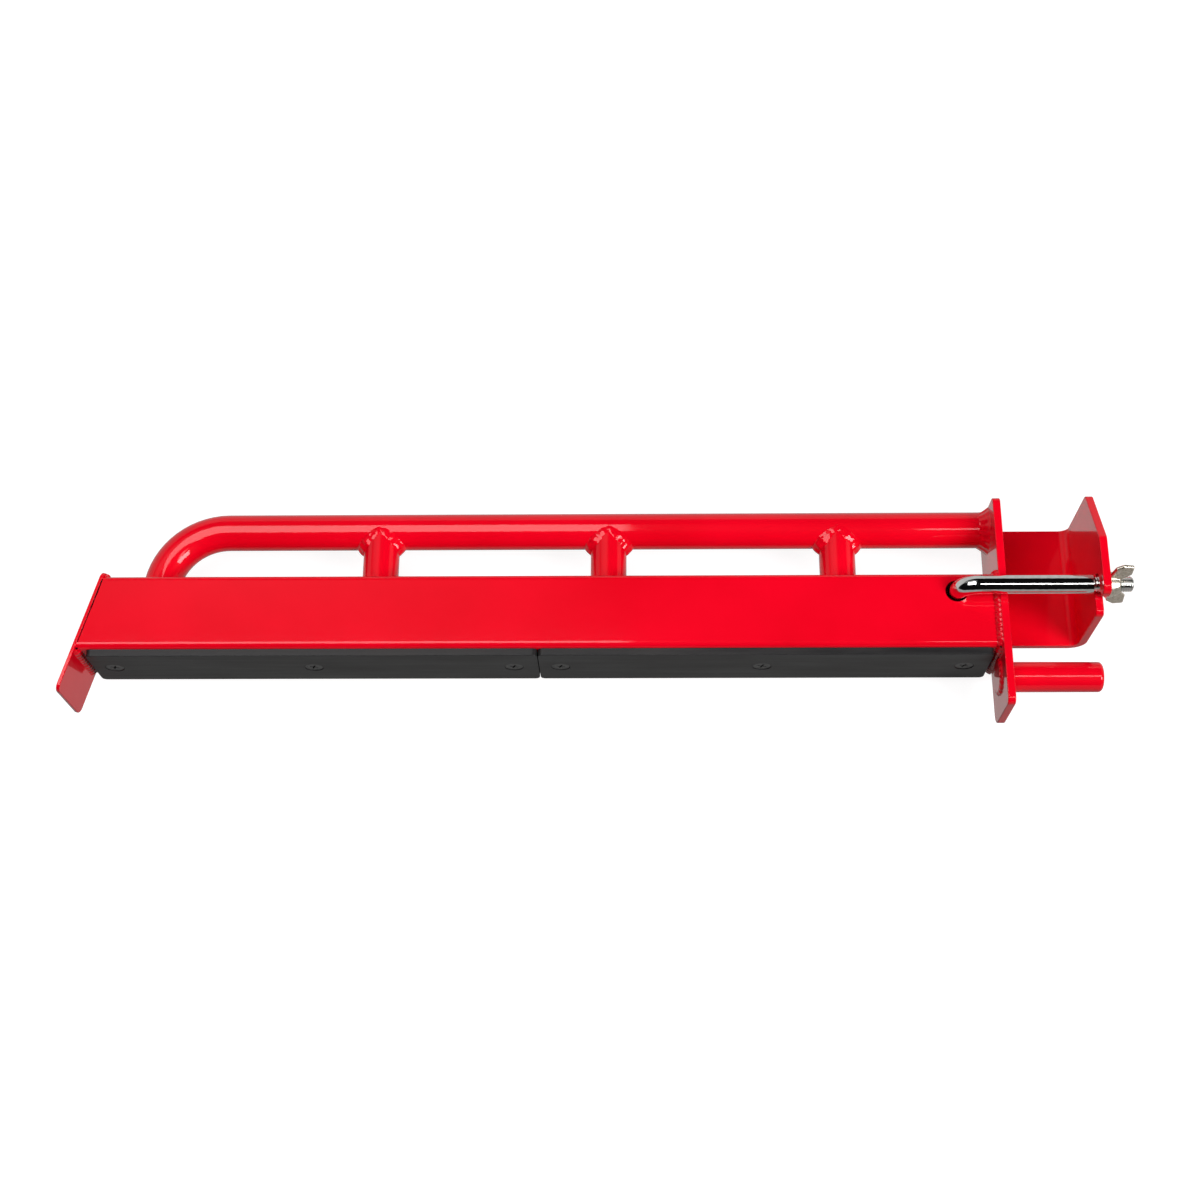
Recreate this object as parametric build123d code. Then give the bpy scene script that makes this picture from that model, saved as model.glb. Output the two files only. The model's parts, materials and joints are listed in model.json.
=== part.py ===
from build123d import *
import os
from math import cos, radians, sin, tan

# Safety (spotter) arm for a strength-training rack, lying on its side.
#
# The origin is on the axis of the locating peg, in the plane of the face that meets the upright.
# +X points along the peg, from the arm into the upright.
# +Y points from the liners towards the truss pipe.
# +Z points out of the tube face that takes the hook bolt.
# All sizes are in millimetres.

# Main tube
TUBE_SIDE = 63.5
TUBE_WALL = 3.0
TUBE_CORNER = 5.0
TUBE_FRONT_Y = 17.7          # the tube face behind the liners
TUBE_NEAR_Z = 26.0           # the tube face with the hook bolt's hole
TUBE_BACK_Y = TUBE_FRONT_Y + TUBE_SIDE
TUBE_FAR_Z = TUBE_NEAR_Z - TUBE_SIDE
TUBE_MID_Y = TUBE_FRONT_Y + TUBE_SIDE / 2
TUBE_MID_Z = TUBE_NEAR_Z - TUBE_SIDE / 2

# End plate, tilted about Z
END_X = -757.9               # its outer face, where it crosses the plane of the tube's front face
END_TILT = radians(15)
END_T = 3.0
END_LIP = 36.5               # along the plate, past the tube's front face
END_PROUD = 4.8              # along the plate, past the tube's back face
END_CORNER = 6.5

# Truss pipe and struts
PIPE_R = 15.15
PIPE_WALL = 3.0
PIPE_Y = 132.7
PIPE_FOOT_X = -697.5
PIPE_BEND_R = 54.0
STRUT_R = 15.0
STRUT_WALL = 3.0
STRUT_X = {"outer": -514.1, "middle": -323.2, "inner": -132.3}

# Bracket: one plate bent to a U around the upright
PLATE_T = 6.5
GAP = 69.3                   # clear width between its legs
BEND_R = 8.0                 # inside radius of both bends
WEB_IN_Z = -41.2
WEB_OUT_Z = WEB_IN_Z - PLATE_T
BRACKET_BACK_Y = 147.5
WEB_FRONT_Y = 42.3
TAB_FRONT_Y = -31.6
LEG_NEAR_Z = 30.2
FLANGE_OUT_X = GAP + PLATE_T
HORN_Z = 61.7
HORN_BACK_Y = 97.1
HORN_TIP_Y = 50.0

# Locating peg
PEG_R = 12.3
PEG_LENGTH = 76.2
PEG_ROUND = 3.5
PEG_SPIGOT_R = 12.1          # the end that goes through the leg, turned down a little
PEG_STUB = 2.0               # how far it stands through the leg, on the tube's side

# Hook bolt and wing nut
BOLT_Y = 65.0
BOLT_Z = 39.2
BOLT_R = 7.6
BOLT_BEND_R = 15.0
BOLT_LEG_X = -39.4
BOLT_LEG_END_Z = 2.0
THREAD_R = 6.1
THREAD_X = 66.0
BOLT_END_X = 97.9
HOOK_HOLE_X = -40.2
HOOK_HOLE_R = 9.25
SLOT_R = 8.6
FLANGE_NEAR_Z = BOLT_Z - SLOT_R
NUT_GAP = 0.1
NUT_LENGTH = 11.0
NUT_FOOT_R = 11.2
NUT_TOP_R = 8.6
NUT_BORE_R = 6.6
WING_T = 4.0
WING_TURN = 76.0             # degrees from +Y towards +Z

# Liners and what holds them
LINER_T = 6.0
LINER_WIDTH = 56.5
LINER_LENGTH = 366.8
LINER_END_X = -12.9
LINER_JOINT = 0.6
LINER_CORNER = 4.0
LINER_FRONT_Y = TUBE_FRONT_Y - LINER_T
SCREW_END = 20.1             # last screw to the liner's end that faces the bracket
SCREW_PITCH = 164.6
SCREW_SUNK = 0.5
SCREW_GAP = 0.6               # around the head, in the countersink
SCREW_HEAD_R = 7.2
SCREW_R = 3.95
SCREW_LENGTH = 17.0
RECESS_SPAN = 7.4
RECESS_SLOT = 1.3
RECESS_DEPTH = 2.2
CLEAR_R = 4.4
RIVET_R = 5.5
RIVET_COLLAR_R = 7.4
RIVET_LENGTH = 15.0
RIVET_BORE_R = 4.05

# Weld beads
BEAD = 4.0
PIPE_BEAD = 6.0
TUBE_BEAD = 5.0
FIT = 0.05                   # gap around a welded or riveted piece in its hole

# Rounding of cut edges
PLATE_EDGE = 0.6
BRACKET_EDGE = 0.8
LINER_EDGE = 0.5


def box_between(x0, x1, y0, y1, z0, z1):
    middle = Pos((x0 + x1) / 2, (y0 + y1) / 2, (z0 + z1) / 2)
    return middle * Box(x1 - x0, y1 - y0, z1 - z0)


def frustum(radius_0, radius_1, length):
    up = (Align.CENTER, Align.CENTER, Align.MIN)
    if radius_0 == radius_1:
        return Cylinder(radius_0, length, align=up)
    return Cone(radius_0, radius_1, length, align=up)


def round_x(radius_0, radius_1, x0, x1, y, z):
    """A cylinder or frustum along X."""
    return Pos(x0, y, z) * Rot(0, 90, 0) * frustum(radius_0, radius_1, x1 - x0)


def round_y(radius_0, radius_1, y0, y1, x, z):
    """A cylinder or frustum along Y."""
    return Pos(x, y0, z) * Rot(-90, 0, 0) * frustum(radius_0, radius_1, y1 - y0)


def square_bar(side, corner, x0, x1):
    """A square bar with rounded corners, on the main tube's axis."""
    profile = extrude(RectangleRounded(side, side, corner), x1 - x0)
    return Pos(x0, TUBE_MID_Y, TUBE_MID_Z) * Rot(0, 90, 0) * profile


def round_corner(face, corner, radius):
    """Round the corner of a flat face that is nearest to a given point."""
    nearest = min(face.vertices(), key=lambda v: (v.center() - Vector(*corner)).length)
    return fillet(nearest, radius)


def is_bend_line(edge):
    """Whether an edge is a line along Y, where a leg turns into the web."""
    along = edge.position_at(1) - edge.position_at(0)
    straight = edge.geom_type == GeomType.LINE and abs(along.X) + abs(along.Z) < 0.001
    return straight and edge.center().Z < WEB_IN_Z + BEND_R + 0.1 and edge.length > BRACKET_BACK_Y / 3


def is_plate_thickness(edge):
    return edge.geom_type == GeomType.LINE and abs(edge.length - PLATE_T) < 0.01


def is_circle(edge, radius):
    return edge.geom_type == GeomType.CIRCLE and abs(edge.radius - radius) < 0.01


def end_inner_x(y):
    """Where the end plate's inner face is, at a given height along Y."""
    return END_X + END_T / cos(END_TILT) + tan(END_TILT) * (y - TUBE_FRONT_Y)


def screw_places():
    """The X of the six liner screws, from the far end to the bracket."""
    second = LINER_END_X - LINER_LENGTH - LINER_JOINT
    places = []
    for liner_end in (second, LINER_END_X):
        for step in (2, 1, 0):
            places.append(liner_end - SCREW_END - step * SCREW_PITCH)
    return places


def tube_blank(side, corner):
    """The tube's outline or its inside, cut off along the end plate's inner face."""
    bar = square_bar(side, corner, END_X - 50, -PLATE_T)
    low, high = TUBE_FRONT_Y - 10, TUBE_BACK_Y + 10
    corners = [(end_inner_x(low), low), (0, low), (0, high), (end_inner_x(high), high)]
    outline = make_face(Polyline(*corners, close=True))
    return bar & (Pos(0, 0, TUBE_MID_Z - TUBE_SIDE) * extrude(outline, 2 * TUBE_SIDE))


def make_main_tube():
    tube = tube_blank(TUBE_SIDE, TUBE_CORNER)
    tube -= tube_blank(TUBE_SIDE - 2 * TUBE_WALL, TUBE_CORNER - TUBE_WALL)
    wall = 2 * TUBE_WALL
    tube -= Pos(HOOK_HOLE_X, BOLT_Y, TUBE_NEAR_Z) * Cylinder(HOOK_HOLE_R, wall)
    for x in screw_places():
        tube -= round_y(RIVET_R + FIT, RIVET_R + FIT, TUBE_FRONT_Y - 1, TUBE_FRONT_Y + wall, x, TUBE_MID_Z)
    return tube


def make_end_plate():
    along = (sin(END_TILT), cos(END_TILT), 0)
    inward = (cos(END_TILT), -sin(END_TILT), 0)
    outer_face = Plane(origin=(END_X, TUBE_FRONT_Y, TUBE_MID_Z), x_dir=along, z_dir=inward)
    back = TUBE_SIDE / cos(END_TILT) + END_PROUD
    outline = RectangleRounded(back + END_LIP, TUBE_SIDE, END_CORNER)
    plate = outer_face * Pos((back - END_LIP) / 2, 0, 0) * extrude(outline, END_T)
    return fillet(plate.edges(), PLATE_EDGE)


def truss_bar(radius):
    """The truss pipe's outline or its inside, cut off on the tube's back face."""
    foot = (PIPE_FOOT_X, TUBE_MID_Y, TUBE_MID_Z)
    corner = (PIPE_FOOT_X, PIPE_Y, TUBE_MID_Z)
    end = (-PLATE_T, PIPE_Y, TUBE_MID_Z)
    path = FilletPolyline(foot, corner, end, radius=PIPE_BEND_R)
    section = Plane(origin=foot, z_dir=(0, 1, 0)) * Circle(radius)
    bar = sweep(section, path=path)
    return bar - box_between(END_X, 0, TUBE_FRONT_Y - 50, TUBE_BACK_Y, TUBE_FAR_Z, TUBE_NEAR_Z)


def make_truss_pipe():
    return truss_bar(PIPE_R) - truss_bar(PIPE_R - PIPE_WALL)


def make_strut(x):
    strut = round_y(STRUT_R, STRUT_R, TUBE_BACK_Y, PIPE_Y, x, TUBE_MID_Z)
    bore = STRUT_R - STRUT_WALL
    strut -= round_y(bore, bore, TUBE_BACK_Y - 1, PIPE_Y, x, TUBE_MID_Z)
    return strut - round_x(PIPE_R, PIPE_R, x - 30, x + 30, PIPE_Y, TUBE_MID_Z)


def u_profile(width, corner, bottom, y0, y1):
    """A U-shaped block around the upright's place, open towards +Z."""
    tall = 300
    block = extrude(RectangleRounded(width, tall, corner), y1 - y0)
    return Pos(GAP / 2, y1, bottom + tall / 2) * Rot(90, 0, 0) * block


def leg_outline():
    """The mounting leg with the peg's tab, in the YZ plane."""
    tab_far_z = -LEG_NEAR_Z
    corners = [
        (WEB_FRONT_Y, WEB_OUT_Z - 1),
        (BRACKET_BACK_Y, WEB_OUT_Z - 1),
        (BRACKET_BACK_Y, LEG_NEAR_Z),
        (TAB_FRONT_Y, LEG_NEAR_Z),
        (TAB_FRONT_Y, tab_far_z),
        (WEB_FRONT_Y, tab_far_z),
    ]
    face = make_face(Polyline(*corners, close=True))
    face = round_corner(face, (BRACKET_BACK_Y, LEG_NEAR_Z, 0), 5)
    face = round_corner(face, (TAB_FRONT_Y, LEG_NEAR_Z, 0), 6)
    face = round_corner(face, (TAB_FRONT_Y, tab_far_z, 0), 9)
    return round_corner(face, (WEB_FRONT_Y, tab_far_z, 0), 6)


def flange_outline():
    """The flange with the horn and the bolt's open slot, in the YZ plane."""
    corners = [
        (WEB_FRONT_Y, WEB_OUT_Z - 1),
        (BRACKET_BACK_Y, WEB_OUT_Z - 1),
        (BRACKET_BACK_Y, FLANGE_NEAR_Z),
        (HORN_BACK_Y, HORN_Z),
        (HORN_TIP_Y, HORN_Z),
        (HORN_TIP_Y, FLANGE_NEAR_Z),
        (WEB_FRONT_Y, FLANGE_NEAR_Z),
    ]
    face = make_face(Polyline(*corners, close=True))
    face -= Pos(BOLT_Y, BOLT_Z) * Circle(SLOT_R)
    open_length = BOLT_Y - WEB_FRONT_Y + 5
    face -= Pos(BOLT_Y - open_length / 2, BOLT_Z) * Rectangle(open_length, 2 * SLOT_R)
    face = round_corner(face, (BRACKET_BACK_Y, FLANGE_NEAR_Z, 0), 5)
    face = round_corner(face, (HORN_BACK_Y, HORN_Z, 0), 8)
    face = round_corner(face, (HORN_TIP_Y, HORN_Z, 0), 7)
    face = round_corner(face, (HORN_TIP_Y, BOLT_Z + SLOT_R, 0), 3)
    return round_corner(face, (WEB_FRONT_Y, FLANGE_NEAR_Z, 0), 5)


def make_bracket():
    y0, y1 = TAB_FRONT_Y - 5, BRACKET_BACK_Y + 5
    blank = u_profile(GAP + 2 * PLATE_T, BEND_R + PLATE_T, WEB_OUT_Z, y0, y1)
    blank -= u_profile(GAP, BEND_R, WEB_IN_Z, y0, y1)
    leg = Pos(-PLATE_T, 0, 0) * extrude(Plane.YZ * leg_outline(), PLATE_T + GAP / 2)
    flange = Pos(GAP / 2, 0, 0) * extrude(Plane.YZ * flange_outline(), GAP / 2 + PLATE_T)
    peg_hole = PEG_R + FIT
    bracket = (blank & (leg + flange)) - round_x(peg_hole, peg_hole, -PLATE_T - 1, 1, 0, 0)
    cut_edges = []
    for edge in bracket.edges():
        if not (is_bend_line(edge) or is_plate_thickness(edge) or is_circle(edge, peg_hole)):
            cut_edges.append(edge)
    return fillet(cut_edges, BRACKET_EDGE)


def make_peg():
    peg = round_x(PEG_R, PEG_R, 0, PEG_LENGTH, 0, 0)
    peg = fillet(peg.edges().sort_by(Axis.X)[-1], PEG_ROUND)
    return peg + round_x(PEG_SPIGOT_R, PEG_SPIGOT_R, -PLATE_T - PEG_STUB, 1, 0, 0)


def make_liner(end_x):
    centre = (end_x - LINER_LENGTH / 2, LINER_FRONT_Y, TUBE_MID_Z)
    front = Plane(origin=centre, x_dir=(1, 0, 0), z_dir=(0, 1, 0))
    liner = front * extrude(RectangleRounded(LINER_LENGTH, LINER_WIDTH, LINER_CORNER), LINER_T)
    liner = fillet(liner.edges().group_by(Axis.Y)[0], LINER_EDGE)
    sink = SCREW_HEAD_R + SCREW_GAP
    for step in (0, 1, 2):
        x = end_x - SCREW_END - step * SCREW_PITCH
        y = LINER_FRONT_Y
        liner -= round_y(CLEAR_R, CLEAR_R, y - 1, y + LINER_T + 1, x, TUBE_MID_Z)
        liner -= round_y(sink, sink, y - 1, y + SCREW_SUNK, x, TUBE_MID_Z)
        cone_end = y + SCREW_SUNK + sink - CLEAR_R
        liner -= round_y(sink, CLEAR_R, y + SCREW_SUNK, cone_end, x, TUBE_MID_Z)
    return liner


def make_screw(x):
    head_y = LINER_FRONT_Y + SCREW_SUNK
    cone_end = head_y + SCREW_HEAD_R - SCREW_R
    screw = round_y(SCREW_HEAD_R, SCREW_R, head_y, cone_end, x, TUBE_MID_Z)
    screw += round_y(SCREW_R, SCREW_R, cone_end, head_y + SCREW_LENGTH, x, TUBE_MID_Z)
    recess = Pos(x, head_y, TUBE_MID_Z)
    for turn in (20, 110):
        screw -= recess * Rot(0, turn, 0) * Box(RECESS_SPAN, 2 * RECESS_DEPTH, RECESS_SLOT)
    return screw


def make_rivet_nut(x):
    inside = TUBE_FRONT_Y + TUBE_WALL
    nut = round_y(RIVET_R, RIVET_R, TUBE_FRONT_Y, TUBE_FRONT_Y + RIVET_LENGTH, x, TUBE_MID_Z)
    nut += round_y(RIVET_COLLAR_R, RIVET_COLLAR_R, inside + FIT, inside + 3, x, TUBE_MID_Z)
    return nut - round_y(RIVET_BORE_R, RIVET_BORE_R, 0, TUBE_BACK_Y, x, TUBE_MID_Z)


def make_hook_bolt():
    leg_end = (BOLT_LEG_X, BOLT_Y, BOLT_LEG_END_Z)
    corner = (BOLT_LEG_X, BOLT_Y, BOLT_Z)
    shank_end = (THREAD_X, BOLT_Y, BOLT_Z)
    path = FilletPolyline(leg_end, corner, shank_end, radius=BOLT_BEND_R)
    rod = sweep(Plane(origin=leg_end, z_dir=(0, 0, 1)) * Circle(BOLT_R), path=path)
    rod = chamfer(rod.edges().group_by(Axis.Z)[0], 1.2)
    thread = round_x(THREAD_R, THREAD_R, THREAD_X - 1, BOLT_END_X, BOLT_Y, BOLT_Z)
    thread = chamfer(thread.edges().sort_by(Axis.X)[-1], 1.2)
    taper = round_x(BOLT_R, THREAD_R, THREAD_X, THREAD_X + 1.5, BOLT_Y, BOLT_Z)
    return rod + thread + taper


def wing_blade():
    """One wing in the plane of the nut's axis: X along the axis, Y away from it."""
    corners = [(1.0, 7), (3.0, 12), (5.5, 23), (11.5, 25.5), (20.5, 24), (18.0, 14.5), (9.5, 7)]
    radii = [0, 3, 4, 5, 4, 4, 0]
    outline = FilletPolyline(*corners, radius=radii, close=True)
    return Pos(0, 0, -WING_T / 2) * extrude(make_face(outline), WING_T)


def make_wing_nut():
    foot_x = FLANGE_OUT_X + NUT_GAP
    nut = round_x(NUT_FOOT_R, NUT_TOP_R, foot_x, foot_x + NUT_LENGTH, BOLT_Y, BOLT_Z)
    for turn in (0, 180):
        nut += Pos(foot_x, BOLT_Y, BOLT_Z) * Rot(WING_TURN + turn, 0, 0) * wing_blade()
    return nut - round_x(NUT_BORE_R, NUT_BORE_R, foot_x - 1, BOLT_END_X + 5, BOLT_Y, BOLT_Z)


def make_strut_weld(x):
    """A saddle bead under the truss pipe and a ring on the tube."""
    pipe = round_x(PIPE_R, PIPE_R, x - 40, x + 40, PIPE_Y, TUBE_MID_Z)
    post = round_y(STRUT_R, STRUT_R, TUBE_BACK_Y - 1, PIPE_Y + 20, x, TUBE_MID_Z)
    grown = PIPE_R + BEAD
    saddle = round_x(grown, grown, x - 40, x + 40, PIPE_Y, TUBE_MID_Z)
    around = STRUT_R + BEAD
    saddle &= round_y(around, around, TUBE_BACK_Y + 20, PIPE_Y + 2, x, TUBE_MID_Z)
    ring = round_y(around, STRUT_R + 0.3, TUBE_BACK_Y, TUBE_BACK_Y + BEAD, x, TUBE_MID_Z)
    return Compound([saddle - pipe - post, ring - post])


def make_pipe_foot_weld():
    top = TUBE_BACK_Y + BEAD
    ring = round_y(PIPE_R + BEAD, PIPE_R + 0.3, TUBE_BACK_Y, top, PIPE_FOOT_X, TUBE_MID_Z)
    return ring - truss_bar(PIPE_R)


def make_pipe_bracket_weld():
    start = -PLATE_T - 1.3 * PIPE_BEAD
    ring = round_x(PIPE_R + 0.3, PIPE_R + PIPE_BEAD, start, -PLATE_T, PIPE_Y, TUBE_MID_Z)
    bracket_space = box_between(-PLATE_T, 0, 0, 200, -60, 60)
    return ring - round_x(PIPE_R, PIPE_R, start - 1, 1, PIPE_Y, TUBE_MID_Z) - bracket_space


def make_tube_bracket_weld():
    """A bead around the tube's end, which stays on the mounting leg's face."""
    start = -PLATE_T - TUBE_BEAD
    thin = Pos(start, TUBE_MID_Y, TUBE_MID_Z) * Rot(0, 90, 0)
    small = thin * RectangleRounded(TUBE_SIDE + 0.6, TUBE_SIDE + 0.6, TUBE_CORNER + 0.3)
    thick = Pos(TUBE_BEAD, 0, 0) * thin
    side = TUBE_SIDE + 2 * TUBE_BEAD - 2.4
    large = thick * RectangleRounded(side, side, TUBE_CORNER + TUBE_BEAD - 1.2)
    bead = loft([small, large])
    return bead - square_bar(TUBE_SIDE, TUBE_CORNER, start - 1, 0)


def make_end_plate_weld():
    """Two straight beads in the corners between the end plate and the tube."""
    length = TUBE_SIDE - 2 * TUBE_CORNER
    beads = []
    for y, way in ((TUBE_FRONT_Y, -1), (TUBE_BACK_Y, 1)):
        reach = BEAD if way < 0 else END_PROUD - 1
        root = (end_inner_x(y), y)
        on_tube = (end_inner_x(y) + reach, y)
        on_plate = (end_inner_x(y + way * reach), y + way * reach)
        face = make_face(Polyline(root, on_tube, on_plate, close=True))
        beads.append(Pos(0, 0, TUBE_MID_Z - length / 2) * extrude(face, length))
    return Compound(beads)


def make_peg_weld():
    foot = -PLATE_T - PEG_STUB
    inside = PEG_SPIGOT_R
    ring = round_x(inside + 0.3, inside + BEAD, foot, -PLATE_T, 0, 0)
    return ring - round_x(inside, inside, foot - 1, 1, 0, 0) - make_tube_bracket_weld()


def build_parts():
    parts = {
        "main_tube": make_main_tube(),
        "end_plate": make_end_plate(),
        "truss_pipe": make_truss_pipe(),
        "bracket": make_bracket(),
        "locating_peg": make_peg(),
        "liner_outer": make_liner(LINER_END_X - LINER_LENGTH - LINER_JOINT),
        "liner_inner": make_liner(LINER_END_X),
        "hook_bolt": make_hook_bolt(),
        "wing_nut": make_wing_nut(),
        "weld_pipe_foot": make_pipe_foot_weld(),
        "weld_pipe_bracket": make_pipe_bracket_weld(),
        "weld_tube_bracket": make_tube_bracket_weld(),
        "weld_end_plate": make_end_plate_weld(),
        "weld_peg": make_peg_weld(),
    }
    for name, x in STRUT_X.items():
        parts[f"strut_{name}"] = make_strut(x)
        parts[f"weld_strut_{name}"] = make_strut_weld(x)
    for number, x in enumerate(screw_places(), start=1):
        parts[f"liner_screw_{number}"] = make_screw(x)
        parts[f"rivet_nut_{number}"] = make_rivet_nut(x)
    return parts


os.makedirs("parts", exist_ok=True)
for node, shape in build_parts().items():
    export_step(shape, f"parts/{node}.step")
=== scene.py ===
import json
from math import cos, pi, radians, sin, sqrt

import bmesh
import bpy
from mathutils import Matrix, Vector, noise


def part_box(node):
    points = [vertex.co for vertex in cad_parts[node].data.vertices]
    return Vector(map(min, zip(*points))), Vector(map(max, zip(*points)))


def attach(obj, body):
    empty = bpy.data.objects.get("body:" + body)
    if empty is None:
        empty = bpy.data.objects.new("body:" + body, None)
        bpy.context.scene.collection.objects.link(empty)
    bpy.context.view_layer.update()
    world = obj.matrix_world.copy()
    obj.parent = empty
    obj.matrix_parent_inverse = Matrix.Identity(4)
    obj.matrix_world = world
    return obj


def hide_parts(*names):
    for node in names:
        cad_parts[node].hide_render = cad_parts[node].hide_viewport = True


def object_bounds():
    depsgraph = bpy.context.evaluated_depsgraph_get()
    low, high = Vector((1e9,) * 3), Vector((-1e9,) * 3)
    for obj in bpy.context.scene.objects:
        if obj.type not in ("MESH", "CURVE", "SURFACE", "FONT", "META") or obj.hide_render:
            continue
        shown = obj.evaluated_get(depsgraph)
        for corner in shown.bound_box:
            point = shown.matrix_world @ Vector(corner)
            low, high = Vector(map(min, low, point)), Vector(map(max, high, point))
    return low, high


# A rack safety arm in glossy red powder coat, with black liners, a chrome hook bolt and a wing nut.
# Everything is in metres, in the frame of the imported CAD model.

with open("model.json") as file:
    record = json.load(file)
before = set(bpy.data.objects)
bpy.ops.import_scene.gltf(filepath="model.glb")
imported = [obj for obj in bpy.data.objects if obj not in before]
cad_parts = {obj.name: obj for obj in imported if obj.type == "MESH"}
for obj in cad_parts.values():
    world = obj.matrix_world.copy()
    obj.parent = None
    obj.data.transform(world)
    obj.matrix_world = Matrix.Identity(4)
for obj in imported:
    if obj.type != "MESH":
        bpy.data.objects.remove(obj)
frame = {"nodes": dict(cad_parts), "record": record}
NODES = frame["nodes"]
cad_low, cad_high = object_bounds()
MM = 0.001


# ---------------------------------------------------------------- sizes read from the frame

def centre(node):
    low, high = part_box(node)
    return (low + high) / 2


def size(node):
    low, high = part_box(node)
    return high - low


TUBE_LOW, TUBE_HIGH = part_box("main_tube")
TUBE_MID = (TUBE_LOW + TUBE_HIGH) / 2
TUBE_SIDE = TUBE_HIGH.y - TUBE_LOW.y
TUBE_CORNER = 5 * MM
BRACKET_LOW, BRACKET_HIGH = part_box("bracket")
BRACKET_BEND_R = 14.5 * MM                  # outside the bend
LEG_X = BRACKET_LOW.x                       # the mounting leg's face on the tube's side
STRUTS = ("outer", "middle", "inner")
STRUT_R = size("strut_inner").x / 2
PIPE_R = size("truss_pipe").z / 2
PIPE_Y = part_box("truss_pipe")[1].y - PIPE_R
PIPE_Z = TUBE_MID.z
PIPE_FOOT_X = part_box("truss_pipe")[0].x + PIPE_R
PEG_R = size("locating_peg").y / 2
PLATE_TILT = radians(15)
BOLT_LOW, BOLT_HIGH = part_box("hook_bolt")
BOLT_R = (BOLT_HIGH.y - BOLT_LOW.y) / 2
BOLT_Y = (BOLT_HIGH.y + BOLT_LOW.y) / 2
BOLT_Z = BOLT_HIGH.z - BOLT_R
NUT_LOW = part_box("wing_nut")[0]


# ---------------------------------------------------------------- node material helpers

def new_material(name):
    material = bpy.data.materials.new(name)
    material.use_nodes = True
    nodes = material.node_tree.nodes
    links = material.node_tree.links
    return material, nodes, links, nodes["Principled BSDF"]


def object_point(nodes, links, scale):
    """Object coordinates, stretched by a scale for each axis."""
    coords = nodes.new("ShaderNodeTexCoord")
    mapping = nodes.new("ShaderNodeMapping")
    mapping.inputs["Scale"].default_value = scale
    links.new(coords.outputs["Object"], mapping.inputs["Vector"])
    return mapping.outputs["Vector"]


def noise_value(nodes, links, vector, scale, detail=2.0, roughness=0.5):
    texture = nodes.new("ShaderNodeTexNoise")
    texture.inputs["Scale"].default_value = scale
    texture.inputs["Detail"].default_value = detail
    texture.inputs["Roughness"].default_value = roughness
    links.new(vector, texture.inputs["Vector"])
    return texture.outputs["Fac"]


def ramp(nodes, links, value, low, high, out_low=0.0, out_high=1.0):
    """The value, stretched from low..high to out_low..out_high and clamped."""
    node = nodes.new("ShaderNodeMapRange")
    node.inputs["From Min"].default_value = low
    node.inputs["From Max"].default_value = high
    node.inputs["To Min"].default_value = out_low
    node.inputs["To Max"].default_value = out_high
    links.new(value, node.inputs["Value"])
    return node.outputs["Result"]


def mix_colours(nodes, links, factor, colour_a, colour_b):
    node = nodes.new("ShaderNodeMix")
    node.data_type = "RGBA"
    links.new(factor, node.inputs["Factor"])
    node.inputs["A"].default_value = (*colour_a, 1)
    node.inputs["B"].default_value = (*colour_b, 1)
    return node.outputs["Result"]


def math(nodes, links, operation, a, b):
    node = nodes.new("ShaderNodeMath")
    node.operation = operation
    for index, value in enumerate((a, b)):
        if isinstance(value, (int, float)):
            node.inputs[index].default_value = value
        else:
            links.new(value, node.inputs[index])
    return node.outputs[0]


def bump(nodes, links, height, distance, strength=1.0, normal=None):
    node = nodes.new("ShaderNodeBump")
    node.inputs["Distance"].default_value = distance
    node.inputs["Strength"].default_value = strength
    links.new(height, node.inputs["Height"])
    if normal is not None:
        links.new(normal, node.inputs["Normal"])
    return node.outputs["Normal"]


# ---------------------------------------------------------------- materials

RED = (0.90, 0.0004, 0.0150)
RED_DEEP = (0.80, 0.0003, 0.0110)
LINER_DARK, LINER_LIGHT = (0.011, 0.011, 0.012), (0.034, 0.032, 0.032)
OXIDE_DARK, OXIDE_WORN = (0.035, 0.035, 0.037), (0.150, 0.145, 0.140)
ZINC_BLUE, ZINC_YELLOW = (0.56, 0.57, 0.58), (0.66, 0.63, 0.54)
CHROME_BRIGHT, CHROME_DULL = (0.80, 0.81, 0.80), (0.70, 0.70, 0.67)
NICKEL_DARK, NICKEL_LIGHT = (0.60, 0.52, 0.42), (0.84, 0.76, 0.66)
# The colours on the next line are near-black painted shade for the unpainted gap and the weld pits.
GAP_SHADE_DARK, GAP_SHADE_LIGHT = (0.0015, 0.0012, 0.0012), (0.0060, 0.0045, 0.0045)


def powder_coat(name, peel, roughness):
    """Gloss red powder coat: orange peel, a few sprayed-in nibs, slightly uneven gloss."""
    material, nodes, links, shader = new_material(name)
    point = object_point(nodes, links, (1, 1, 1))
    patches = noise_value(nodes, links, point, 9, 3)
    colour = mix_colours(nodes, links, ramp(nodes, links, patches, 0.35, 0.65), RED_DEEP, RED)
    links.new(colour, shader.inputs["Base Color"])
    uneven = noise_value(nodes, links, point, 22, 4)
    gloss = ramp(nodes, links, uneven, 0.3, 0.7, roughness - 0.03, roughness + 0.04)
    links.new(gloss, shader.inputs["Roughness"])
    shader.inputs["Specular IOR Level"].default_value = 0.03
    shader.inputs["Coat Weight"].default_value = 1.0
    shader.inputs["Coat Roughness"].default_value = 0.05
    shader.inputs["Coat IOR"].default_value = 1.38
    peel_height = noise_value(nodes, links, point, 420, 2, 0.45)
    normal = bump(nodes, links, peel_height, peel)
    waves = noise_value(nodes, links, point, 70, 2)
    normal = bump(nodes, links, waves, peel * 1.6, 1.0, normal)
    nibs = nodes.new("ShaderNodeTexVoronoi")
    nibs.inputs["Scale"].default_value = 26
    nibs.inputs["Randomness"].default_value = 1.0
    links.new(point, nibs.inputs["Vector"])
    nib_height = ramp(nodes, links, nibs.outputs["Distance"], 0.02, 0.0)
    normal = bump(nodes, links, nib_height, 0.00025, 1.0, normal)
    links.new(normal, shader.inputs["Normal"])
    return material


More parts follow.
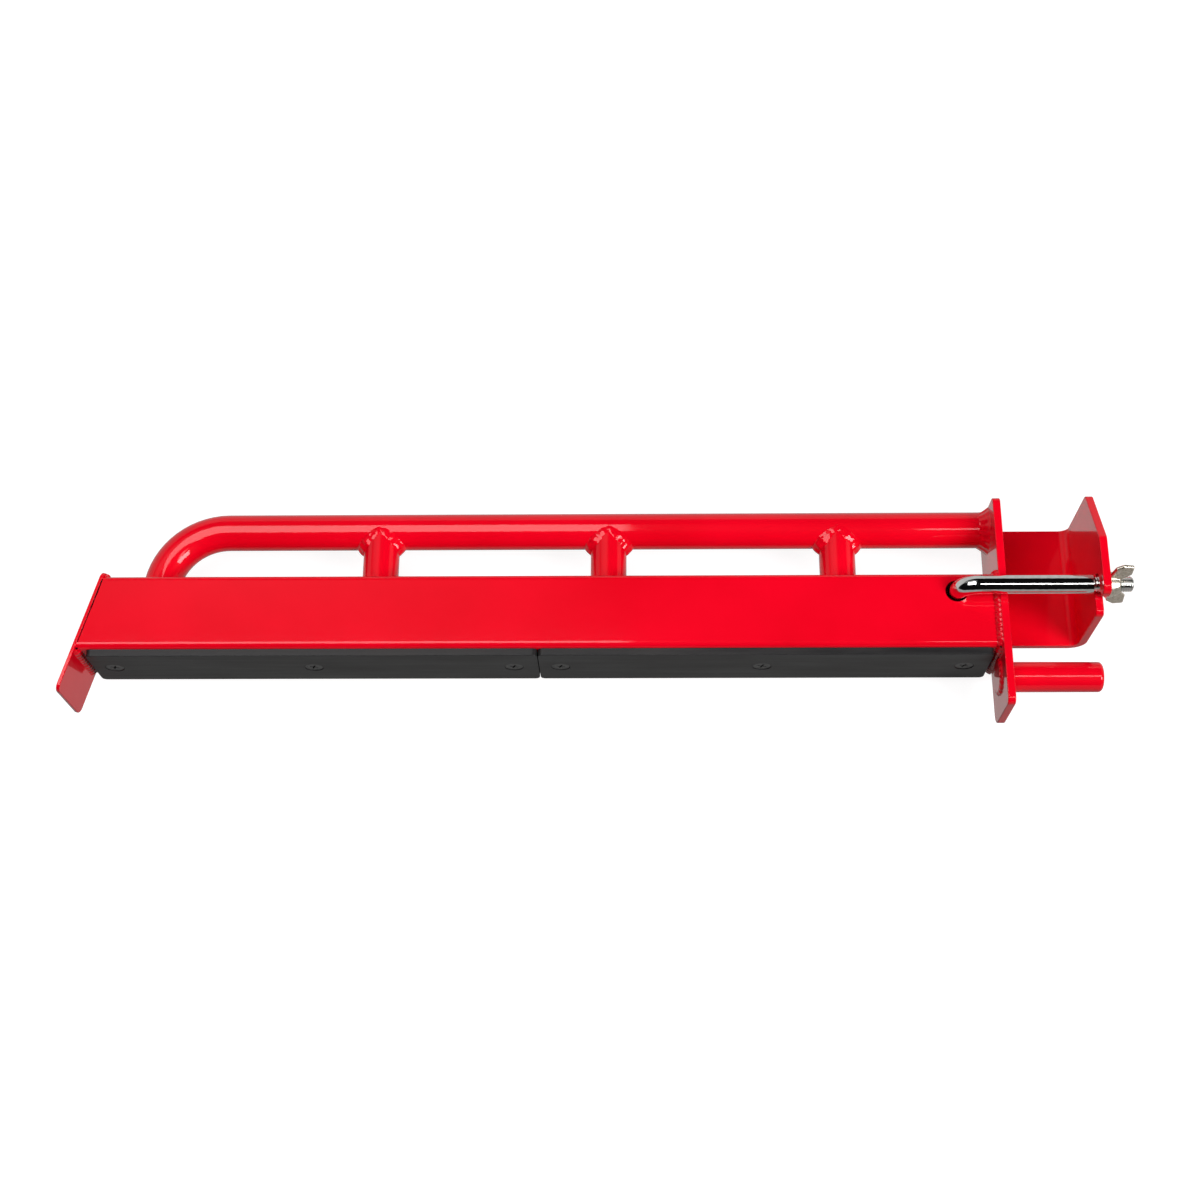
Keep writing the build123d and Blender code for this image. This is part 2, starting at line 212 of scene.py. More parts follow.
def liner_plastic():
    """Black sheet plastic: streaks along its length, cloudy patches and fine pits."""
    material, nodes, links, shader = new_material("black_liner_plastic")
    long_point = object_point(nodes, links, (0.06, 1, 1))
    streaks = noise_value(nodes, links, long_point, 190, 4, 0.6)
    cloud_point = object_point(nodes, links, (0.3, 1, 1))
    clouds = noise_value(nodes, links, cloud_point, 28, 4, 0.6)
    both = math(nodes, links, "ADD", math(nodes, links, "MULTIPLY", streaks, 0.45),
                math(nodes, links, "MULTIPLY", clouds, 0.55))
    colour = mix_colours(nodes, links, ramp(nodes, links, both, 0.38, 0.66), LINER_DARK, LINER_LIGHT)
    links.new(colour, shader.inputs["Base Color"])
    rough = ramp(nodes, links, both, 0.35, 0.65, 0.34, 0.55)
    links.new(rough, shader.inputs["Roughness"])
    shader.inputs["Specular IOR Level"].default_value = 0.28
    pits = noise_value(nodes, links, object_point(nodes, links, (0.35, 1, 1)), 900, 3, 0.6)
    normal = bump(nodes, links, streaks, 0.00006)
    normal = bump(nodes, links, pits, 0.00005, 1.0, normal)
    links.new(normal, shader.inputs["Normal"])
    return material


def oxide_screw():
    """Black-oxide steel, a little worn."""
    material, nodes, links, shader = new_material("black_oxide_screw")
    point = object_point(nodes, links, (1, 1, 1))
    wear = noise_value(nodes, links, point, 700, 4, 0.6)
    colour = mix_colours(nodes, links, ramp(nodes, links, wear, 0.45, 0.72), OXIDE_DARK, OXIDE_WORN)
    links.new(colour, shader.inputs["Base Color"])
    shader.inputs["Metallic"].default_value = 0.7
    links.new(ramp(nodes, links, wear, 0.3, 0.7, 0.28, 0.45), shader.inputs["Roughness"])
    links.new(bump(nodes, links, wear, 0.00004), shader.inputs["Normal"])
    return material


def zinc_plate():
    """Zinc-plated steel with a faint yellow-blue cast."""
    material, nodes, links, shader = new_material("zinc_plate")
    point = object_point(nodes, links, (1, 1, 1))
    cast = noise_value(nodes, links, point, 160, 3)
    colour = mix_colours(nodes, links, ramp(nodes, links, cast, 0.35, 0.65), ZINC_BLUE, ZINC_YELLOW)
    links.new(colour, shader.inputs["Base Color"])
    shader.inputs["Metallic"].default_value = 1.0
    links.new(ramp(nodes, links, cast, 0.3, 0.7, 0.26, 0.36), shader.inputs["Roughness"])
    fine = noise_value(nodes, links, point, 900, 2)
    links.new(bump(nodes, links, fine, 0.00003), shader.inputs["Normal"])
    return material


def chrome_plate():
    """Polished chrome over drawn rod: mirror-like, with faint ripples and fine lines along the rod."""
    material, nodes, links, shader = new_material("chrome_plate")
    point = object_point(nodes, links, (1, 1, 1))
    haze = noise_value(nodes, links, point, 240, 3)
    colour = mix_colours(nodes, links, ramp(nodes, links, haze, 0.35, 0.7), CHROME_BRIGHT, CHROME_DULL)
    links.new(colour, shader.inputs["Base Color"])
    shader.inputs["Metallic"].default_value = 1.0
    links.new(ramp(nodes, links, haze, 0.3, 0.7, 0.045, 0.10), shader.inputs["Roughness"])
    ripples = noise_value(nodes, links, object_point(nodes, links, (0.5, 1, 1)), 420, 3, 0.55)
    links.new(bump(nodes, links, ripples, 0.00005), shader.inputs["Normal"])
    return material


def nickel_cast():
    """Nickel plate over a rough zinc casting."""
    material, nodes, links, shader = new_material("nickel_casting")
    point = object_point(nodes, links, (1, 1, 1))
    grain = noise_value(nodes, links, point, 480, 4, 0.6)
    colour = mix_colours(nodes, links, ramp(nodes, links, grain, 0.35, 0.65), NICKEL_DARK, NICKEL_LIGHT)
    links.new(colour, shader.inputs["Base Color"])
    shader.inputs["Metallic"].default_value = 1.0
    links.new(ramp(nodes, links, grain, 0.3, 0.7, 0.24, 0.38), shader.inputs["Roughness"])
    normal = bump(nodes, links, noise_value(nodes, links, point, 260, 3), 0.00030)
    links.new(bump(nodes, links, grain, 0.00008, 1.0, normal), shader.inputs["Normal"])
    return material


def make_painted_shade():
    """Painted shade: near black, because almost no light comes back out of an unpainted gap; varied a little
    by noise.
    """
    material, nodes, links, shader = new_material("painted_shade_black")
    shade_noise = noise_value(nodes, links, object_point(nodes, links, (1, 1, 1)), 500, 3)
    # The colour is painted shade, near black, varied a little by noise.
    colour = mix_colours(nodes, links, shade_noise, GAP_SHADE_DARK, GAP_SHADE_LIGHT)
    links.new(colour, shader.inputs["Base Color"])
    links.new(ramp(nodes, links, shade_noise, 0.3, 0.7, 0.85, 0.95), shader.inputs["Roughness"])
    shader.inputs["Specular IOR Level"].default_value = 0.0
    return material


FINISHES = {
    "red_powder_coat": powder_coat("red_powder_coat_gloss", 0.000012, 0.36),
    "red_coated_weld": powder_coat("red_coated_weld_gloss", 0.000020, 0.34),
    "black_liner": liner_plastic(),
    "black_screw": oxide_screw(),
    "zinc_insert": zinc_plate(),
    "chrome_rod": chrome_plate(),
    "nickel_nut": nickel_cast(),
}


def finish_cad_nodes():
    """Every CAD node gets the finished material of its own slot."""
    for subpart in frame["record"]["subparts"]:
        node = NODES[subpart["node"]]
        node.data.materials.clear()
        node.data.materials.append(FINISHES[subpart["material_slot"]])


# ---------------------------------------------------------------- mesh helpers

def loft(rings, closed_path=False):
    """A shell through rings of points. Each ring is closed, and has as many points as the others."""
    count = len(rings[0])
    points = [point for ring in rings for point in ring]
    spans = len(rings) if closed_path else len(rings) - 1
    faces = []
    for i in range(spans):
        here = i * count
        there = (i + 1) % len(rings) * count
        for j in range(count):
            k = (j + 1) % count
            faces.append((here + j, here + k, there + k, there + j))
    if not closed_path:
        last = (len(rings) - 1) * count
        faces.append(tuple(range(count - 1, -1, -1)))
        faces.append(tuple(range(last, last + count)))
    return points, faces


def mesh_from_shells(name, shells):
    points, faces = [], []
    for shell_points, shell_faces in shells:
        start = len(points)
        points.extend(shell_points)
        faces.extend([tuple(start + index for index in face) for face in shell_faces])
    mesh = bpy.data.meshes.new(name)
    mesh.from_pydata(points, [], faces)
    bm = bmesh.new()
    bm.from_mesh(mesh)
    bmesh.ops.recalc_face_normals(bm, faces=bm.faces)
    bm.to_mesh(mesh)
    bm.free()
    return mesh


def add_piece(name, mesh, body, slot_name, *replaced, finish=None):
    """Shades the mesh, gives it a finish, and sets it on its body in place of its CAD nodes."""
    mesh.shade_smooth()
    mesh.set_sharp_from_angle(angle=radians(42))
    mesh.materials.clear()
    mesh.materials.append(finish or FINISHES[slot_name])
    piece = bpy.data.objects.new(name, mesh)
    bpy.context.scene.collection.objects.link(piece)
    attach(piece, body)
    if replaced:
        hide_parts(*replaced)
    return piece


# ---------------------------------------------------------------- weld beads

BEAD_SIDES = 11                             # points across a bead's crown
RIPPLE = 0.16 * MM
SINK = 0.5 * MM                             # how far a bead reaches into both surfaces


def bead_shell(stations, pitch, bulge, seed, ripple=RIPPLE, lumps=0.0, closed=True):
    """A rippled bead through stations. Each has the root, the ways along the two surfaces, the two legs,
    and the two functions that set a toe onto its surface. Lumps add unevenness all over the crown."""
    roots = [station[0] for station in stations]
    count = len(roots)
    travelled = [0.0]
    for i in range(1, count):
        travelled.append(travelled[-1] + (roots[i] - roots[i - 1]).length)
    total = travelled[-1] + ((roots[0] - roots[-1]).length if closed else 0)
    ripples = max(1, round(total / pitch))
    rings = []
    for i, (root, way_a, way_b, leg_a, leg_b, snap_a, snap_b) in enumerate(stations):
        phase = 2 * pi * ripples * travelled[i] / total
        lump = noise.noise(root * 150 + Vector((seed, 0, 0)))
        grow = 1 + 0.05 * cos(phase) + 0.16 * lump
        ends = 1.0
        if not closed:
            ends = min(1.0, 0.35 + min(travelled[i], total - travelled[i]) / (1.2 * pitch))
        out = (way_a + way_b).normalized()
        toe_a = snap_a(root + way_a * leg_a * grow * ends)
        toe_b = snap_b(root + way_b * leg_b * grow * ends)
        ring = [toe_a - out * SINK]
        for j in range(BEAD_SIDES):
            t = j / (BEAD_SIDES - 1)
            across = 4 * t * (1 - t)
            wave = cos(phase - 1.9 * (2 * t - 1) ** 2)
            height = bulge * ends * (1 + 0.5 * lump) * across + ripple * wave * sqrt(across)
            place = toe_a.lerp(toe_b, t)
            height += lumps * noise.noise(place * 210 + Vector((0, seed, 0))) * sqrt(across)
            ring.append(place + out * height)
        ring.append(toe_b - out * SINK)
        ring.append(root - out * SINK)
        rings.append(ring)
    return loft(rings, closed)


def as_is(point):
    return point


def snap_to_round(axis, middle, radius):
    """Moves a point onto a cylinder along X or Y."""
    def snap(point):
        from_axis = point - middle
        from_axis[axis] = 0
        return point - from_axis + from_axis.normalized() * radius
    return snap


def ring_stations(middle, axis, radius, leg_up, leg_out, steps=200):
    """Stations round a bar that stands on a flat face. The axis points up the bar."""
    side = axis.orthogonal().normalized()
    other = axis.cross(side)
    stations = []
    for i in range(steps):
        turn = 2 * pi * i / steps
        outward = side * cos(turn) + other * sin(turn)
        stations.append((middle + outward * radius, axis, outward, leg_up, leg_out, as_is, as_is))
    return stations


def saddle_stations(x, side_legs, crest_legs, steps=260):
    """Stations along the curve where a strut meets the truss pipe. The bead is widest at the sides."""
    strut_axis = Vector((x, 0, PIPE_Z))
    pipe_axis = Vector((0, PIPE_Y, PIPE_Z))
    on_strut = snap_to_round(1, strut_axis, STRUT_R)
    on_pipe = snap_to_round(0, pipe_axis, PIPE_R)

    def meeting(turn):
        across = STRUT_R * sin(turn)
        y = PIPE_Y - sqrt(PIPE_R ** 2 - across ** 2)
        return Vector((x + STRUT_R * cos(turn), y, PIPE_Z + across))

    stations = []
    for i in range(steps):
        turn = 2 * pi * i / steps
        root = meeting(turn)
        along = (meeting(turn + 0.01) - meeting(turn - 0.01)).normalized()
        from_strut = Vector((cos(turn), 0, sin(turn)))
        from_pipe = Vector((0, root.y - PIPE_Y, root.z - PIPE_Z)).normalized()
        way_a = along.cross(from_strut)
        way_b = along.cross(from_pipe)
        way_a = way_a if way_a.y < 0 else -way_a
        way_b = way_b if way_b.dot(from_strut) > 0 else -way_b
        sideways = abs(cos(turn))
        leg_a, leg_b = (crest + (side - crest) * sideways for side, crest in zip(side_legs, crest_legs))
        stations.append((root, way_a, way_b, leg_a, leg_b, on_strut, on_pipe))
    return stations


def strut_beads():
    for number, name in enumerate(STRUTS):
        x = centre(f"strut_{name}").x
        foot = Vector((x, TUBE_HIGH.y, PIPE_Z))
        saddle = saddle_stations(x, (6.0 * MM, 5.2 * MM), (3.4 * MM, 1.2 * MM))
        ring = ring_stations(foot, Vector((0, 1, 0)), STRUT_R, 3.8 * MM, 3.6 * MM)
        shells = [
            bead_shell(saddle, 5.4 * MM, 0.35 * MM, 3 + 5 * number, 0.05 * MM, 0.55 * MM),
            bead_shell(ring, 4.4 * MM, 0.5 * MM, number),
        ]
        mesh = mesh_from_shells(f"bead_strut_{name}", shells)
        add_piece(f"bead_strut_{name}", mesh, "frame", "red_coated_weld", f"weld_strut_{name}")


def pipe_beads():
    foot = Vector((PIPE_FOOT_X, TUBE_HIGH.y, PIPE_Z))
    stations = ring_stations(foot, Vector((0, 1, 0)), PIPE_R, 3.8 * MM, 3.6 * MM)
    mesh = mesh_from_shells("bead_pipe_foot", [bead_shell(stations, 4.4 * MM, 0.5 * MM, 21)])
    add_piece("bead_pipe_foot", mesh, "frame", "red_coated_weld", "weld_pipe_foot")

    end = Vector((LEG_X, PIPE_Y, PIPE_Z))
    edge_y = BRACKET_HIGH.y
    stations = []
    around_end = ring_stations(end, Vector((-1, 0, 0)), PIPE_R, 7.6 * MM, 5.6 * MM)
    for root, up, out, leg_up, leg_out, snap_a, snap_b in around_end:
        if out.y > 0.05:
            leg_out = max(0.3 * MM, min(leg_out, (edge_y - root.y) / out.y))
        stations.append((root, up, out, leg_up, leg_out, snap_a, snap_b))
    bead = bead_shell(stations, 5.2 * MM, -0.5 * MM, 33, 0.04 * MM, 0.3 * MM)
    mesh = mesh_from_shells("bead_pipe_bracket", [bead])
    add_piece("bead_pipe_bracket", mesh, "frame", "red_coated_weld", "weld_pipe_bracket")


def square_path(side, corner, steps):
    """Points and outward ways round a square with rounded corners, as (y, z) vectors."""
    straight = side - 2 * corner
    quarter = straight + corner * pi / 2
    places = []
    for i in range(steps):
        distance = 4 * quarter * i / steps
        turn, rest = divmod(distance, quarter)
        rotate = Matrix.Rotation(turn * pi / 2, 2)
        if rest < straight:
            point = Vector((side / 2, rest - straight / 2))
            outward = Vector((1, 0))
        else:
            angle = (rest - straight) / corner
            outward = Vector((cos(angle), sin(angle)))
            point = Vector((straight / 2, straight / 2)) + outward * corner
        places.append((rotate @ point, rotate @ outward))
    return places


def tube_bracket_bead():
    """The bead round the tube's end. It follows the leg's face and the bend into the web."""
    bend_r = BRACKET_BEND_R
    bend_z = BRACKET_LOW.z + bend_r

    def on_leg(point):
        below = max(0.0, min(bend_z - point.z, bend_r * 0.99))
        return Vector((LEG_X + bend_r - sqrt(bend_r ** 2 - below ** 2), point.y, point.z))

    stations = []
    for point, outward in square_path(TUBE_SIDE, TUBE_CORNER, 560):
        root = Vector((LEG_X, TUBE_MID.y + point.x, TUBE_MID.z + point.y))
        out = Vector((0, outward.x, outward.y))
        stations.append((root, Vector((-1, 0, 0)), out, 4.4 * MM, 3.4 * MM, as_is, on_leg))
    mesh = mesh_from_shells("bead_tube_bracket", [bead_shell(stations, 4.2 * MM, 0.7 * MM, 47)])
    add_piece("bead_tube_bracket", mesh, "frame", "red_coated_weld", "weld_tube_bracket")


def end_inner_x(y):
    """Where the end plate's inner face is, at a height along Y."""
    return TUBE_LOW.x + (y - TUBE_LOW.y) * sin(PLATE_TILT) / cos(PLATE_TILT)


def end_plate_beads():
    shells = []
    for y, way, seed in ((TUBE_LOW.y, -1, 61), (TUBE_HIGH.y, 1, 71)):
        up_plate = Vector((sin(PLATE_TILT), cos(PLATE_TILT), 0)) * way
        stations = []
        steps = 110
        for i in range(steps + 1):
            z = TUBE_LOW.z + 4 * MM + (TUBE_SIDE - 7 * MM) * i / steps
            root = Vector((end_inner_x(y), y, z))
            stations.append((root, Vector((1, 0, 0)), up_plate, 3.6 * MM, 4.0 * MM, as_is, as_is))
        shells.append(bead_shell(stations, 4.6 * MM, 0.7 * MM, seed, closed=False))
    mesh = mesh_from_shells("bead_end_plate", shells)
    add_piece("bead_end_plate", mesh, "frame", "red_coated_weld", "weld_end_plate")


def peg_bead():
    foot = Vector((LEG_X, 0, 0))
    stations = ring_stations(foot, Vector((-1, 0, 0)), PEG_R - 0.2 * MM, 1.9 * MM, 3.4 * MM)
    mesh = mesh_from_shells("bead_peg", [bead_shell(stations, 4.0 * MM, 0.5 * MM, 83)])
    add_piece("bead_peg", mesh, "frame", "red_coated_weld", "weld_peg")


# ---------------------------------------------------------------- hook bolt and wing nut

THREAD_PITCH = 1.95 * MM
THREAD_CREST = 6.35 * MM
THREAD_ROOT = 5.1 * MM
THREAD_START_X = 66 * MM
THREAD_LEAD = 1.5 * MM                      # from the shank to the first turn
THREAD_END_R = 4.9 * MM                     # what the chamfer brings the thread down to
BOLT_TIP_R = 4.6 * MM
BOLT_BEND_R = 15 * MM
ROD_SIDES = 64
WING_TURN = 76                              # degrees from +Y towards +Z


def bolt_ring(middle, lean, radius):
    """A ring across the bolt. lean is the angle of its way from +Z to +X. radius may be a function."""
    down = Vector((cos(lean), 0, -sin(lean)))
    ring = []
    for i in range(ROD_SIDES):
        turn = 2 * pi * i / ROD_SIDES
        reach = radius(turn) if callable(radius) else radius
        ring.append(middle + (Vector((0, 1, 0)) * cos(turn) + down * sin(turn)) * reach)
    return ring


def thread_radius(x, blend):
    """The radius of a right-hand thread at x. blend fades the thread out where it runs into the shank."""
    mean = (THREAD_CREST + THREAD_ROOT) / 2
    half = (THREAD_CREST - THREAD_ROOT) / 2

    def radius(turn):
        wave = cos(2 * pi * x / THREAD_PITCH + turn)
        flank = max(-1.0, min(1.0, 1.5 * wave))
        return mean + half * flank * blend
    return radius


def hook_bolt():
    leg_x = BOLT_LOW.x + BOLT_R
    chamfer = 1.2 * MM
    foot = BOLT_LOW.z
    rings = []
    for up, inward in ((0, 1), (0.6, 0.3), (1, 0)):
        place = Vector((leg_x, BOLT_Y, foot + up * chamfer))
        rings.append(bolt_ring(place, 0, BOLT_R - inward * chamfer))
    for i in range(1, 5):
        z = foot + chamfer + (BOLT_Z - BOLT_BEND_R - foot - chamfer) * i / 5
        rings.append(bolt_ring(Vector((leg_x, BOLT_Y, z)), 0, BOLT_R))
    steps = 28
    for i in range(steps + 1):
        lean = pi / 2 * i / steps
        x = leg_x + BOLT_BEND_R * (1 - cos(lean))
        z = BOLT_Z - BOLT_BEND_R * (1 - sin(lean))
        middle = Vector((x, BOLT_Y, z))
        rings.append(bolt_ring(middle, lean, BOLT_R))
    shank_start = leg_x + BOLT_BEND_R
    for i in range(1, 13):
        x = shank_start + (THREAD_START_X - shank_start) * i / 12
        rings.append(bolt_ring(Vector((x, BOLT_Y, BOLT_Z)), pi / 2, BOLT_R))
    step = THREAD_PITCH / 14
    count = int((BOLT_HIGH.x - THREAD_START_X - THREAD_LEAD) / step)
    tip_x = BOLT_HIGH.x
    for i in range(count + 1):
        x = THREAD_START_X + THREAD_LEAD + i * step
        blend = min(1.0, i * step / (2 * THREAD_PITCH))
        full = thread_radius(x, blend)
        limit = THREAD_END_R + max(0.0, tip_x - x)
        place = Vector((x, BOLT_Y, BOLT_Z))
        rings.append(bolt_ring(place, pi / 2, lambda turn, f=full, l=limit: min(f(turn), l)))
    rings.append(bolt_ring(Vector((tip_x, BOLT_Y, BOLT_Z)), pi / 2, BOLT_TIP_R))
    mesh = mesh_from_shells("threaded_hook_bolt", [loft(rings)])
    add_piece("threaded_hook_bolt", mesh, "hook_bolt", "chrome_rod", "hook_bolt")


def remeshed(name, shells, voxel, smoothing):
    """The shells melted into one skin and smoothed, like a casting."""
    lump = bpy.data.objects.new(name, mesh_from_shells(name, shells))
    bpy.context.scene.collection.objects.link(lump)
    remesh = lump.modifiers.new("melt", "REMESH")
    remesh.mode = "VOXEL"
    remesh.voxel_size = voxel
    smooth = lump.modifiers.new("smooth", "SMOOTH")
    smooth.factor = 0.5
    smooth.iterations = smoothing
    skin = bpy.data.meshes.new_from_object(lump.evaluated_get(bpy.context.evaluated_depsgraph_get()))
    bpy.data.objects.remove(lump)
    return skin


def nut_body():
    """A tapered ring with a collar at its foot."""
    # millimetres along the bolt and away from it, from the bore round the outside and back
    profile = [(0, 6.7), (0, 10.8), (0.9, 11.2), (2.2, 10.9), (9.8, 8.9), (11.0, 8.2), (11.0, 6.7)]
    rings = []
    for along, reach in profile:
        x = NUT_LOW.x + along * MM
        reach *= MM
        ring = []
        for i in range(ROD_SIDES):
            turn = 2 * pi * i / ROD_SIDES
            ring.append(Vector((x, BOLT_Y + reach * cos(turn), BOLT_Z + reach * sin(turn))))
        rings.append(ring)
    return loft(rings, closed_path=True)


def wing_shells(turn):
    """One wing: a thin web inside a thicker rounded rim. The outline is in millimetres."""
    outline = [(1.5, 8.0), (3.6, 12), (6.4, 20.0), (11.0, 23.2), (17.4, 22.4), (17.2, 15.0), (10.0, 8.0)]
    out = Vector((0, cos(turn), sin(turn)))
    flat = Vector((0, -sin(turn), cos(turn)))
    foot = Vector((NUT_LOW.x, BOLT_Y, BOLT_Z))
    places = [foot + Vector((along * MM, 0, 0)) + out * (reach * MM) for along, reach in outline]
    half = 1.6 * MM
    web = loft([[place - flat * half for place in places], [place + flat * half for place in places]])
    shells = [web]
    rim_r = 1.8 * MM
    for start, end in zip(places, places[1:]):
        way = (end - start).normalized()
        side = way.cross(flat)
        rings = []
        for place in (start - way * 0.4 * rim_r, end + way * 0.4 * rim_r):
            ring = []
            for i in range(20):
                angle = 2 * pi * i / 20
                ring.append(place + (side * cos(angle) + flat * sin(angle)) * rim_r)
            rings.append(ring)
        shells.append(loft(rings))
    return shells


def wing_nut():
    shells = [nut_body()]
    for turn in (WING_TURN, WING_TURN + 180):
        shells.extend(wing_shells(radians(turn)))
    skin = remeshed("cast_wing_nut", shells, 0.40 * MM, 5)
    add_piece("cast_wing_nut", skin, "wing_nut", "nickel_nut", "wing_nut")


# ---------------------------------------------------------------- unpainted gaps and pits, in painted shade

def open_seam(shade_paint):
    """The unwelded, unpainted gap between the tube's near face and the end plate, as a thin bar whose
    near-black colour is painted shade.
    """
    z = TUBE_HIGH.z
    half = 0.40 * MM
    rings = []
    for i in range(25):
        y = TUBE_LOW.y + TUBE_CORNER + (TUBE_SIDE - 1.6 * TUBE_CORNER) * i / 24
        middle = Vector((end_inner_x(y) + 0.35 * MM, y, z))
        taper = 1 if 0 < i < 24 else 0.3
        wide = half * (0.75 + 0.55 * i / 24 + 0.5 * noise.noise(middle * 160)) * taper
        turns = [pi / 4 * k for k in range(8)]
        rings.append([middle + Vector((wide * cos(turn), 0, half * sin(turn))) for turn in turns])
    mesh = mesh_from_shells("open_seam", [loft(rings)])
    # The bar's near-black finish is painted shade.
    add_piece("open_seam", mesh, "frame", "black_liner", finish=shade_paint)


def pinholes(shade_paint):
    """Pits where a bead stops short, at the tube's corners, as small balls in near-black painted shade."""
    shells = []
    corner_y = TUBE_LOW.y + 0.6 * MM
    places = [
        (Vector((end_inner_x(corner_y) + 0.9 * MM, corner_y, TUBE_HIGH.z - 2.6 * MM)), 0.9 * MM),
        (Vector((LEG_X - 1.3 * MM, TUBE_LOW.y - 0.5 * MM, TUBE_HIGH.z - 0.6 * MM)), 1.0 * MM),
    ]
    for middle, radius in places:
        rings = []
        for i in range(1, 10):
            polar = pi * i / 10
            ring = []
            for j in range(16):
                turn = 2 * pi * j / 16
                way = Vector((sin(polar) * cos(turn), sin(polar) * sin(turn), cos(polar)))
                ring.append(middle + way * radius)
            rings.append(ring)
        shells.append(loft(rings))
    mesh = mesh_from_shells("weld_pinholes", shells)
    # The balls' near-black finish is painted shade.
    add_piece("weld_pinholes", mesh, "frame", "black_liner", finish=shade_paint)


# ---------------------------------------------------------------- stage, lights and camera

FLOOR_HALF = 30.0                           # metres
FLOOR_GAP = 0.0002                          # below the arm, so that the two don't touch
FLOOR_DARK, FLOOR_LIGHT = (0.24, 0.24, 0.24), (0.26, 0.26, 0.26)
FLOOR_GLOW = 0.90
ROOM_DARK, ROOM_LIGHT = (0.004, 0.004, 0.004), (0.58, 0.58, 0.57)
CAMERA_LENS = 55.75
CAMERA_PLACE = (-0.29614, -0.50318, 1.42735)
CAMERA_TURN = (21.828, 1.242, 0.304)        # degrees


def make_floor():
    """A plain pale sheet that the arm lies on, wide enough to fill the photo's view."""
    half = FLOOR_HALF
    z = cad_low.z - FLOOR_GAP
    corners = [(-half, -half, z), (half, -half, z), (half, half, z), (-half, half, z)]
    mesh = bpy.data.meshes.new("floor")
    mesh.from_pydata(corners, [], [(0, 1, 2, 3)])
    floor = bpy.data.objects.new("floor", mesh)
    bpy.context.scene.collection.objects.link(floor)
    material, nodes, links, shader = new_material("pale_floor")
    grain = noise_value(nodes, links, object_point(nodes, links, (1, 1, 1)), 3, 2)
    colour = mix_colours(nodes, links, grain, FLOOR_DARK, FLOOR_LIGHT)
    links.new(colour, shader.inputs["Base Color"])
    shader.inputs["Roughness"].default_value = 0.9
    shader.inputs["Emission Color"].default_value = (1, 1, 1, 1)
    shader.inputs["Emission Strength"].default_value = FLOOR_GLOW
    mesh.materials.append(material)
    # The sheet is only white to look at. It doesn't light the arm or show in it, and lamps shine through it.
    floor.visible_diffuse = False
    floor.visible_glossy = False
    floor.visible_shadow = False


def area_light(name, place, target, width, depth, power, colour=(1, 1, 1), glossy=True):
    data = bpy.data.lights.new(name, "AREA")
    data.shape = "RECTANGLE"
    data.size = width
    data.size_y = depth
    data.energy = power
    data.color = colour
    light = bpy.data.objects.new(name, data)
    light.location = place
    aim = Vector(target) - Vector(place)
    light.rotation_euler = aim.to_track_quat("-Z", "Y").to_euler()
    light.visible_glossy = glossy
    light.visible_camera = False
    bpy.context.scene.collection.objects.link(light)
    return light


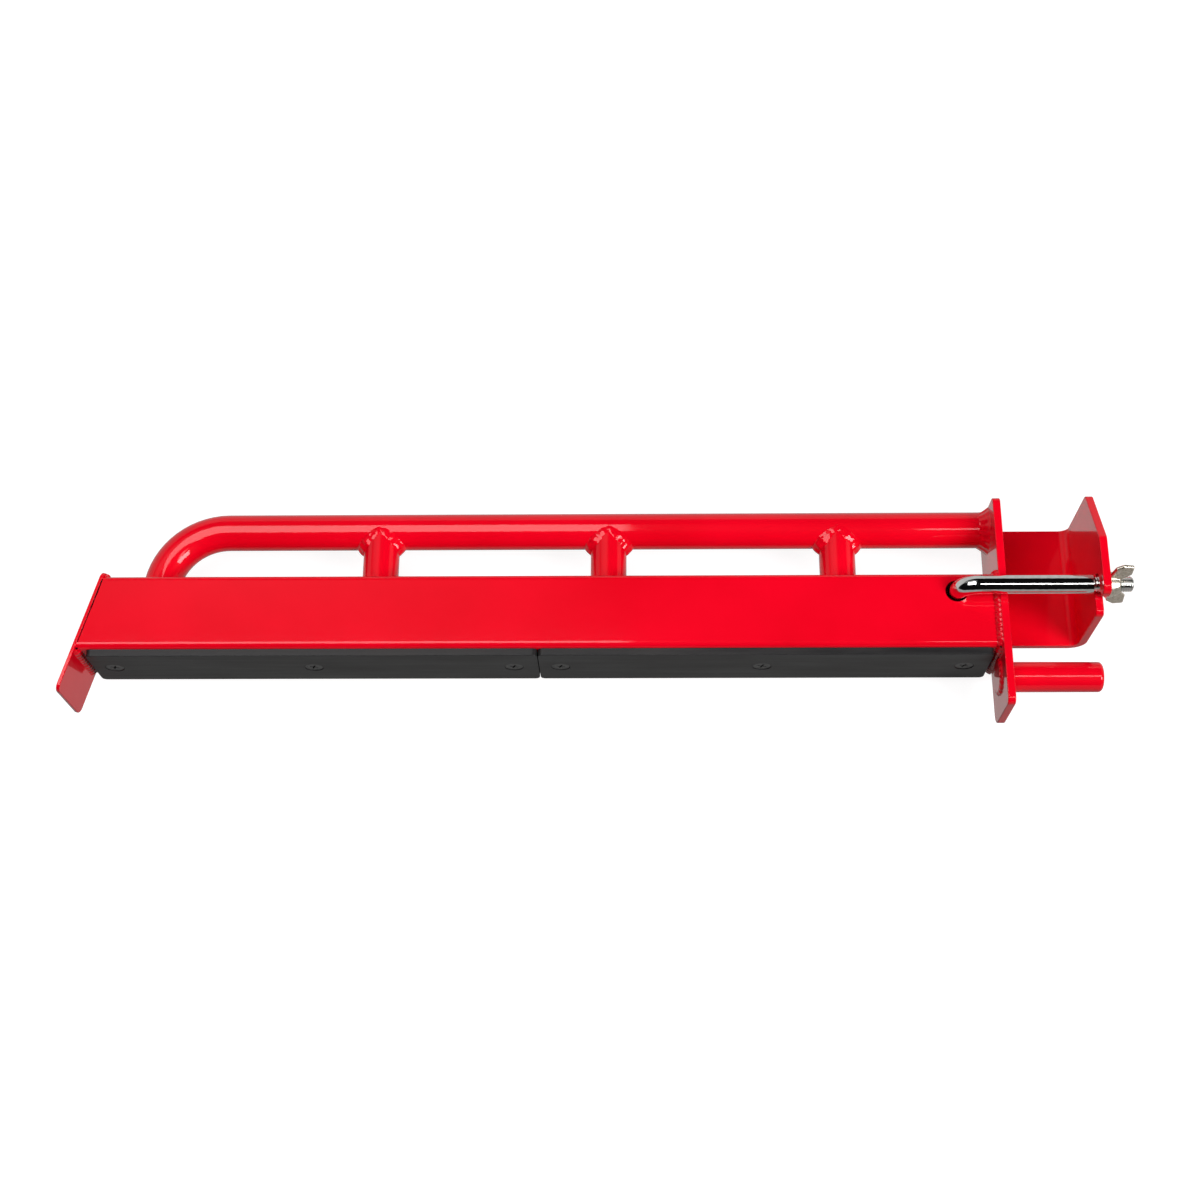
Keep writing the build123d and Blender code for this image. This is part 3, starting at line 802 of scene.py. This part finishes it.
def light_studio():
    middle = (-0.33, 0.06, 0.0)
    area_light("overhead_box", (-1.02, 0.095, 2.0), (-1.02, 0.095, 0), 1.4, 1.29, 27)
    area_light("key_box", (1.5, -1.0, 1.75), middle, 1.1, 1.1, 50)
    area_light("camera_strip", (0.85, -0.42, 2.0), (0.85, -0.42, 0), 1.2, 0.34, 7)
    area_light("soft_fill", (-0.33, 0.2, 2.6), middle, 3.0, 3.0, 1.5, glossy=False)
    area_light("wall_fill", (-0.33, 2.5, 0.9), middle, 3.0, 1.0, 14, glossy=False)
    area_light("bench_bounce", (-0.33, 0.06, -1.0), middle, 3.0, 3.0, 2.8, glossy=False)
    world = bpy.data.worlds.new("studio")
    world.use_nodes = True
    nodes = world.node_tree.nodes
    links = world.node_tree.links
    background = nodes["Background"]
    coords = nodes.new("ShaderNodeTexCoord")
    split = nodes.new("ShaderNodeSeparateXYZ")
    links.new(coords.outputs["Generated"], split.inputs["Vector"])
    # The white wall is taller behind the arm (+Y) than on the side of the camera.
    wall_top = ramp(nodes, links, split.outputs["Y"], -0.2, 0.35, 0.06, 0.48)
    above_wall = math(nodes, links, "SUBTRACT", split.outputs["Z"], wall_top)
    wall = ramp(nodes, links, above_wall, 0.05, -0.05)
    # A faint glow on the ceiling, above and behind the arm's far end.
    glow = ramp(nodes, links, split.outputs["X"], -0.01, -0.22)
    glow = math(nodes, links, "MULTIPLY", glow, ramp(nodes, links, split.outputs["Y"], 0.33, 0.40))
    glow_end = ramp(nodes, links, split.outputs["Y"], 0.60, 0.46, 0, 0.9)
    glow = math(nodes, links, "MULTIPLY", glow, glow_end)
    glow = math(nodes, links, "MULTIPLY", glow, ramp(nodes, links, split.outputs["Z"], 0.5, 0.7))
    light = math(nodes, links, "MAXIMUM", wall, glow)
    # Below the horizon is the bench, brighter behind the arm than before it.
    bench = ramp(nodes, links, split.outputs["Y"], -0.3, 0.3, 0.60, 1.25)
    above = ramp(nodes, links, split.outputs["Z"], -0.02, 0.0)
    light = math(nodes, links, "MULTIPLY", light, math(nodes, links, "MAXIMUM", bench, above))
    colour = mix_colours(nodes, links, light, ROOM_DARK, ROOM_LIGHT)
    links.new(colour, background.inputs["Color"])
    background.inputs["Strength"].default_value = 1.0
    # The room is only mirrored; its light comes from the lamps, so that the shaded sides stay dark.
    world.cycles_visibility.diffuse = False
    bpy.context.scene.world = world


def make_camera():
    data = bpy.data.cameras.new("camera")
    data.lens = CAMERA_LENS
    data.sensor_width = 36
    camera = bpy.data.objects.new("camera", data)
    camera.location = CAMERA_PLACE
    camera.rotation_euler = [radians(turn) for turn in CAMERA_TURN]
    bpy.context.scene.collection.objects.link(camera)
    bpy.context.scene.camera = camera


finish_cad_nodes()
strut_beads()
pipe_beads()
tube_bracket_bead()
end_plate_beads()
peg_bead()
hook_bolt()
wing_nut()
# Near-black painted shade for the open seam and the pinholes.
painted_shade_black = make_painted_shade()
open_seam(painted_shade_black)
pinholes(painted_shade_black)
make_floor()
light_studio()
make_camera()
bpy.context.scene.view_settings.view_transform = "Standard"
